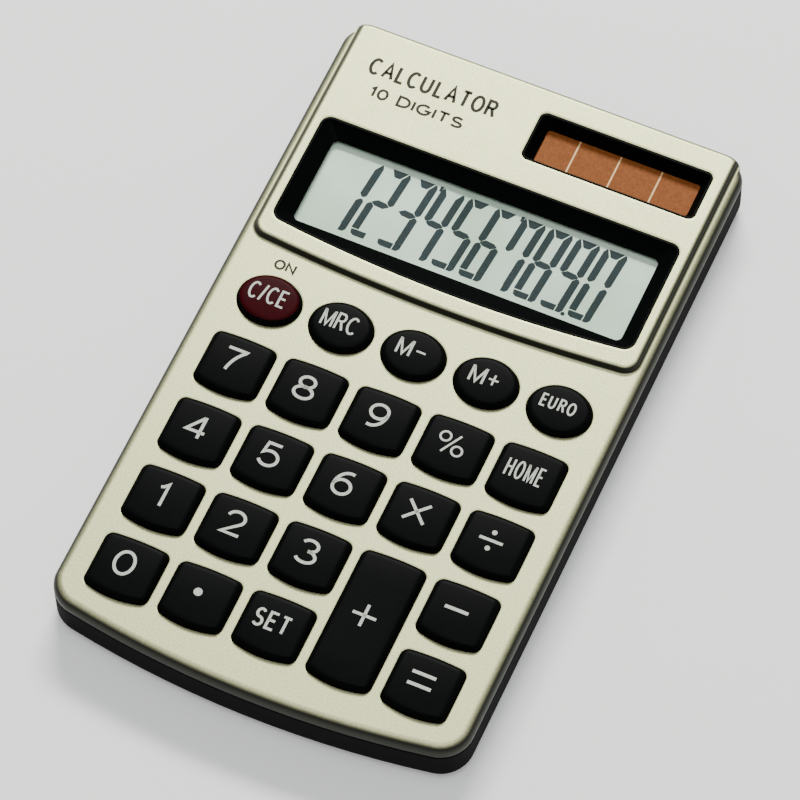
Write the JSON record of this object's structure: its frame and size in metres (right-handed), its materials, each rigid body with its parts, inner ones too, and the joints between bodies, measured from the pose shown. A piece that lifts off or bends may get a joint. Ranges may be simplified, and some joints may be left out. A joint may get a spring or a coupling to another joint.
{
  "type": "pocket calculator",
  "caption": "Slim pocket calculator with a raised display panel, recessed display and solar windows, rubber-dome keys, a sliding battery door and a bowed lower end.",
  "frame": {"origin": "under the middle of the body, on the surface it lies on", "axes": "+X to the right of the face, +Y towards the display end, +Z out of the face"},
  "size_m": [0.0702, 0.1184, 0.011],
  "materials": {
    "face_metal": "champagne anodised aluminium, fine satin grain",
    "black_shell": "black ABS with a fine moulded texture",
    "bezel_plastic": "black ABS, semi-gloss",
    "clear_window": "clear acrylic window, polished",
    "polariser": "pale grey-green polarising film",
    "lcd_glass": "clear display glass",
    "lcd_reflector": "satin grey-green reflector film",
    "zebra_rubber": "striped pink and black elastomer",
    "solar_glass": "brown amorphous silicon on glass, cream gaps",
    "red_wire": "red vinyl sleeve",
    "black_wire": "black vinyl sleeve",
    "circuit_board": "green solder mask over copper tracks",
    "epoxy": "black epoxy",
    "capacitor_sleeve": "blue vinyl sleeve",
    "zinc_steel": "bright zinc plated steel",
    "grey_rubber": "translucent grey silicone rubber",
    "carbon_rubber": "black conductive rubber",
    "cell_steel": "nickel plated steel",
    "contact_metal": "plated phosphor bronze",
    "black_steel": "black zinc plated steel",
    "black_key": "satin black moulded plastic",
    "red_key": "satin dark red moulded plastic with black sides"
  },
  "bodies": {
    "body": {"front_plate": "face_metal", "upper_housing": "black_shell", "display_bezel": "bezel_plastic", "solar_bezel": "bezel_plastic", "display_window": "clear_window", "lcd_front_polariser": "polariser", "lcd_front_glass": "lcd_glass", "lcd_rear_glass": "lcd_glass", "lcd_reflector": "lcd_reflector", "zebra_strip": "zebra_rubber", "solar_cell": "solar_glass", "solar_wire_red": "red_wire", "solar_wire_black": "black_wire", "main_board": "circuit_board", "chip_blob": "epoxy", "board_capacitor": "capacitor_sleeve", "board_resistors": "epoxy", "board_screws": "zinc_steel", "rubber_keypad": "grey_rubber", "carbon_pills": "carbon_rubber", "battery_holder": "black_shell", "button_cell": "cell_steel", "cell_contact_leaf": "contact_metal", "cell_contact_side": "contact_metal", "rear_cover": "black_shell", "rear_screws": "black_steel"},
    "battery_door": {"battery_door": "black_shell"},
    "key_clear": {"key_clear": "red_key"},
    "key_recall": {"key_recall": "black_key"},
    "key_memory_minus": {"key_memory_minus": "black_key"},
    "key_memory_plus": {"key_memory_plus": "black_key"},
    "key_euro": {"key_euro": "black_key"},
    "key_7": {"key_7": "black_key"},
    "key_8": {"key_8": "black_key"},
    "key_9": {"key_9": "black_key"},
    "key_percent": {"key_percent": "black_key"},
    "key_home": {"key_home": "black_key"},
    "key_4": {"key_4": "black_key"},
    "key_5": {"key_5": "black_key"},
    "key_6": {"key_6": "black_key"},
    "key_multiply": {"key_multiply": "black_key"},
    "key_divide": {"key_divide": "black_key"},
    "key_1": {"key_1": "black_key"},
    "key_2": {"key_2": "black_key"},
    "key_3": {"key_3": "black_key"},
    "key_plus": {"key_plus": "black_key"},
    "key_minus": {"key_minus": "black_key"},
    "key_0": {"key_0": "black_key"},
    "key_point": {"key_point": "black_key"},
    "key_set": {"key_set": "black_key"},
    "key_equals": {"key_equals": "black_key"}
  },
  "joints": [
    {"name": "key_clear_press", "type": "slide", "parent": "body", "child": "key_clear", "axis": [0, 0, -1], "range_m": [0, 0.0008], "stiffness_N_per_m": 600, "springref_m": -0.0004, "deforming": ["rubber_keypad"]},
    {"name": "key_recall_press", "type": "slide", "parent": "body", "child": "key_recall", "axis": [0, 0, -1], "range_m": [0, 0.0008], "stiffness_N_per_m": 600, "springref_m": -0.0004, "deforming": ["rubber_keypad"]},
    {"name": "key_memory_minus_press", "type": "slide", "parent": "body", "child": "key_memory_minus", "axis": [0, 0, -1], "range_m": [0, 0.0008], "stiffness_N_per_m": 600, "springref_m": -0.0004, "deforming": ["rubber_keypad"]},
    {"name": "key_memory_plus_press", "type": "slide", "parent": "body", "child": "key_memory_plus", "axis": [0, 0, -1], "range_m": [0, 0.0008], "stiffness_N_per_m": 600, "springref_m": -0.0004, "deforming": ["rubber_keypad"]},
    {"name": "key_euro_press", "type": "slide", "parent": "body", "child": "key_euro", "axis": [0, 0, -1], "range_m": [0, 0.0008], "stiffness_N_per_m": 600, "springref_m": -0.0004, "deforming": ["rubber_keypad"]},
    {"name": "key_7_press", "type": "slide", "parent": "body", "child": "key_7", "axis": [0, 0, -1], "range_m": [0, 0.0008], "stiffness_N_per_m": 600, "springref_m": -0.0004, "deforming": ["rubber_keypad"]},
    {"name": "key_8_press", "type": "slide", "parent": "body", "child": "key_8", "axis": [0, 0, -1], "range_m": [0, 0.0008], "stiffness_N_per_m": 600, "springref_m": -0.0004, "deforming": ["rubber_keypad"]},
    {"name": "key_9_press", "type": "slide", "parent": "body", "child": "key_9", "axis": [0, 0, -1], "range_m": [0, 0.0008], "stiffness_N_per_m": 600, "springref_m": -0.0004, "deforming": ["rubber_keypad"]},
    {"name": "key_percent_press", "type": "slide", "parent": "body", "child": "key_percent", "axis": [0, 0, -1], "range_m": [0, 0.0008], "stiffness_N_per_m": 600, "springref_m": -0.0004, "deforming": ["rubber_keypad"]},
    {"name": "key_home_press", "type": "slide", "parent": "body", "child": "key_home", "axis": [0, 0, -1], "range_m": [0, 0.0008], "stiffness_N_per_m": 600, "springref_m": -0.0004, "deforming": ["rubber_keypad"]},
    {"name": "key_4_press", "type": "slide", "parent": "body", "child": "key_4", "axis": [0, 0, -1], "range_m": [0, 0.0008], "stiffness_N_per_m": 600, "springref_m": -0.0004, "deforming": ["rubber_keypad"]},
    {"name": "key_5_press", "type": "slide", "parent": "body", "child": "key_5", "axis": [0, 0, -1], "range_m": [0, 0.0008], "stiffness_N_per_m": 600, "springref_m": -0.0004, "deforming": ["rubber_keypad"]},
    {"name": "key_6_press", "type": "slide", "parent": "body", "child": "key_6", "axis": [0, 0, -1], "range_m": [0, 0.0008], "stiffness_N_per_m": 600, "springref_m": -0.0004, "deforming": ["rubber_keypad"]},
    {"name": "key_multiply_press", "type": "slide", "parent": "body", "child": "key_multiply", "axis": [0, 0, -1], "range_m": [0, 0.0008], "stiffness_N_per_m": 600, "springref_m": -0.0004, "deforming": ["rubber_keypad"]},
    {"name": "key_divide_press", "type": "slide", "parent": "body", "child": "key_divide", "axis": [0, 0, -1], "range_m": [0, 0.0008], "stiffness_N_per_m": 600, "springref_m": -0.0004, "deforming": ["rubber_keypad"]},
    {"name": "key_1_press", "type": "slide", "parent": "body", "child": "key_1", "axis": [0, 0, -1], "range_m": [0, 0.0008], "stiffness_N_per_m": 600, "springref_m": -0.0004, "deforming": ["rubber_keypad"]},
    {"name": "key_2_press", "type": "slide", "parent": "body", "child": "key_2", "axis": [0, 0, -1], "range_m": [0, 0.0008], "stiffness_N_per_m": 600, "springref_m": -0.0004, "deforming": ["rubber_keypad"]},
    {"name": "key_3_press", "type": "slide", "parent": "body", "child": "key_3", "axis": [0, 0, -1], "range_m": [0, 0.0008], "stiffness_N_per_m": 600, "springref_m": -0.0004, "deforming": ["rubber_keypad"]},
    {"name": "key_plus_press", "type": "slide", "parent": "body", "child": "key_plus", "axis": [0, 0, -1], "range_m": [0, 0.0008], "stiffness_N_per_m": 600, "springref_m": -0.0004, "deforming": ["rubber_keypad"]},
    {"name": "key_minus_press", "type": "slide", "parent": "body", "child": "key_minus", "axis": [0, 0, -1], "range_m": [0, 0.0008], "stiffness_N_per_m": 600, "springref_m": -0.0004, "deforming": ["rubber_keypad"]},
    {"name": "key_0_press", "type": "slide", "parent": "body", "child": "key_0", "axis": [0, 0, -1], "range_m": [0, 0.0008], "stiffness_N_per_m": 600, "springref_m": -0.0004, "deforming": ["rubber_keypad"]},
    {"name": "key_point_press", "type": "slide", "parent": "body", "child": "key_point", "axis": [0, 0, -1], "range_m": [0, 0.0008], "stiffness_N_per_m": 600, "springref_m": -0.0004, "deforming": ["rubber_keypad"]},
    {"name": "key_set_press", "type": "slide", "parent": "body", "child": "key_set", "axis": [0, 0, -1], "range_m": [0, 0.0008], "stiffness_N_per_m": 600, "springref_m": -0.0004, "deforming": ["rubber_keypad"]},
    {"name": "key_equals_press", "type": "slide", "parent": "body", "child": "key_equals", "axis": [0, 0, -1], "range_m": [0, 0.0008], "stiffness_N_per_m": 600, "springref_m": -0.0004, "deforming": ["rubber_keypad"]},
    {"name": "battery_door_slide", "type": "slide", "parent": "body", "child": "battery_door", "axis": [0, 1, 0], "range_m": [0, 0.016]}
  ]
}
